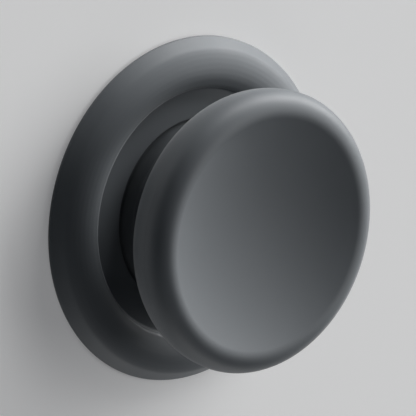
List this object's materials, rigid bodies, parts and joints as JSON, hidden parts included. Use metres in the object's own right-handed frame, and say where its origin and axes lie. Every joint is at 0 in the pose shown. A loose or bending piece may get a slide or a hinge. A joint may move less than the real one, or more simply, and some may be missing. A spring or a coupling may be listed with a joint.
{
  "type": "collapsible phone grip",
  "caption": "Round magnetic phone grip: a domed base ring, an accordion bellows that folds into its well, and a thick cap with a shallow thumb dish.",
  "frame": {"origin": "centre of the mounting face, the face of the friction pad that lies against the phone", "axes": "+Z along the axis of the grip, from the mounting face towards the cap; +Y is up in the picture and +X is right across the back of the phone"},
  "size_m": [0.06, 0.06, 0.0222],
  "materials": {
    "soft_touch_plastic": "matte soft-touch, slate grey",
    "bellows_elastomer": "satin moulded elastomer, slate grey",
    "silicone": "matte silicone, dark grey",
    "inner_plastic": "moulded plastic, near black",
    "magnet": "nickel plate",
    "steel": "cold-rolled sheet"
  },
  "bodies": {
    "base": {"friction_pad": "silicone", "base_plate": "inner_plastic", "magnet_array": "magnet", "shunt_ring": "steel", "base_shell": "soft_touch_plastic", "bellows": "bellows_elastomer"},
    "cap": {"neck_hub": "inner_plastic", "cap_back": "soft_touch_plastic", "cap_shell": "soft_touch_plastic"}
  },
  "joints": [
    {"name": "collapse", "type": "slide", "parent": "base", "child": "cap", "axis": [0, 0, 1], "range_m": [-0.0089, 0], "deforming": ["bellows"]}
  ]
}
